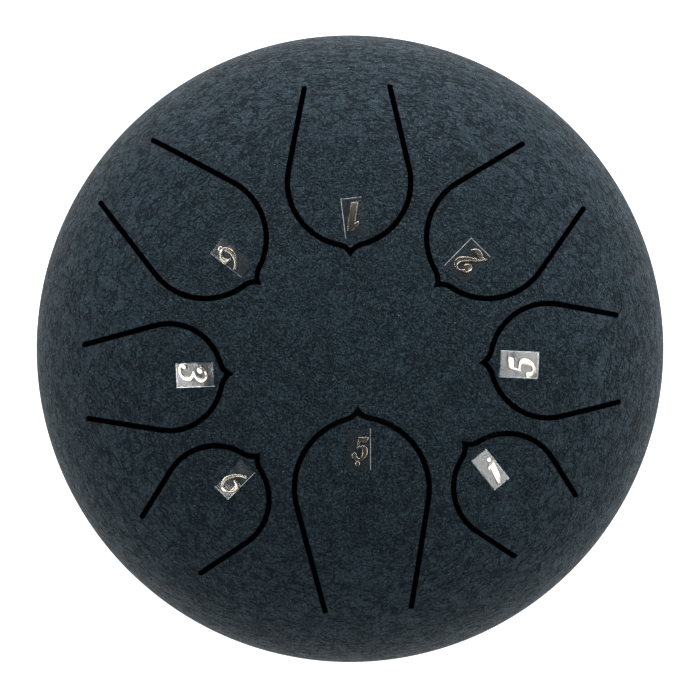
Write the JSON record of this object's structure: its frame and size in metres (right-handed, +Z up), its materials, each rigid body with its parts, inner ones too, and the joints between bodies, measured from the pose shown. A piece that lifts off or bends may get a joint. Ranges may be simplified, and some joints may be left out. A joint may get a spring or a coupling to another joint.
{
  "type": "steel tongue drum",
  "caption": "Round domed steel tongue drum: two welded pressed shells, slot-cut tongues with metal note numerals, a sound hole and rubber feet below.",
  "frame": {"origin": "middle of the drum on the surface its rubber feet stand on", "axes": "+Z up through the dome, +Y towards the root of the note-one tongue, +X towards the root of the note-five tongue"},
  "size_m": [0.155, 0.155, 0.0846],
  "materials": {
    "shell_paint": "wrinkled blue-black powder coat",
    "weld_paint": "the same coat over a ground weld",
    "rubber": "moulded black rubber",
    "zinc_steel": "zinc plated",
    "clear_film": "clear glossy film",
    "bright_nickel": "mirror-bright nickel"
  },
  "bodies": {
    "drum": {"foot_nut_1": "zinc_steel", "foot_nut_2": "zinc_steel", "foot_nut_3": "zinc_steel", "foot_screw_1": "zinc_steel", "foot_screw_2": "zinc_steel", "foot_screw_3": "zinc_steel", "foot_washer_1": "zinc_steel", "foot_washer_2": "zinc_steel", "foot_washer_3": "zinc_steel", "lower_shell": "shell_paint", "rubber_foot_1": "rubber", "rubber_foot_2": "rubber", "rubber_foot_3": "rubber", "seam_weld": "weld_paint", "upper_shell": "shell_paint"},
    "tongue_one": {"film_one": "clear_film", "numeral_one": "bright_nickel", "tongue_one": "shell_paint"},
    "tongue_two": {"film_two": "clear_film", "numeral_two": "bright_nickel", "tongue_two": "shell_paint"},
    "tongue_three": {"film_three": "clear_film", "numeral_three": "bright_nickel", "tongue_three": "shell_paint"},
    "tongue_five": {"film_five": "clear_film", "numeral_five": "bright_nickel", "tongue_five": "shell_paint"},
    "tongue_six": {"film_six": "clear_film", "numeral_six": "bright_nickel", "tongue_six": "shell_paint"},
    "tongue_low_five": {"film_low_five": "clear_film", "numeral_low_five": "bright_nickel", "tongue_low_five": "shell_paint", "octave_dot_low_five": "bright_nickel"},
    "tongue_low_six": {"film_low_six": "clear_film", "numeral_low_six": "bright_nickel", "tongue_low_six": "shell_paint", "octave_dot_low_six": "bright_nickel"},
    "tongue_high_one": {"film_high_one": "clear_film", "numeral_high_one": "bright_nickel", "tongue_high_one": "shell_paint", "octave_dot_high_one": "bright_nickel"}
  },
  "joints": [
    {"name": "flex_one", "type": "hinge", "parent": "drum", "child": "tongue_one", "pos_m": [-0.00072, 0.06301, 0.06889], "axis": [-0.9998, -0.0209, 0.0069], "range_deg": [-0.6, 0.6], "stiffness_Nm_per_rad": 61},
    {"name": "flex_two", "type": "hinge", "parent": "drum", "child": "tongue_two", "pos_m": [0.04897, 0.0416, 0.06794], "axis": [-0.6815, 0.7309, 0.0365], "range_deg": [-0.6, 0.6], "stiffness_Nm_per_rad": 69.3},
    {"name": "flex_three", "type": "hinge", "parent": "drum", "child": "tongue_three", "pos_m": [-0.06356, -0.00792, 0.0681], "axis": [0.054, -0.9971, -0.0542], "range_deg": [-0.6, 0.6], "stiffness_Nm_per_rad": 56},
    {"name": "flex_five", "type": "hinge", "parent": "drum", "child": "tongue_five", "pos_m": [0.06457, -0.00237, 0.06766], "axis": [-0.0279, 0.9983, 0.0518], "range_deg": [-0.6, 0.6], "stiffness_Nm_per_rad": 70.1},
    {"name": "flex_six", "type": "hinge", "parent": "drum", "child": "tongue_six", "pos_m": [-0.04309, -0.04734, 0.06813], "axis": [0.7192, -0.6945, -0.0229], "range_deg": [-0.6, 0.6], "stiffness_Nm_per_rad": 64.2},
    {"name": "flex_low_five", "type": "hinge", "parent": "drum", "child": "tongue_low_five", "pos_m": [0.00439, -0.06276, 0.06896], "axis": [0.9985, 0.0541, -0.0115], "range_deg": [-0.6, 0.6], "stiffness_Nm_per_rad": 64.1},
    {"name": "flex_low_six", "type": "hinge", "parent": "drum", "child": "tongue_low_six", "pos_m": [-0.05398, 0.04286, 0.06363], "axis": [-0.6438, -0.7645, -0.0315], "range_deg": [-0.6, 0.6], "stiffness_Nm_per_rad": 55.5},
    {"name": "flex_high_one", "type": "hinge", "parent": "drum", "child": "tongue_high_one", "pos_m": [0.04699, -0.0427, 0.06853], "axis": [0.7114, 0.7016, -0.0412], "range_deg": [-0.6, 0.6], "stiffness_Nm_per_rad": 69.7}
  ]
}
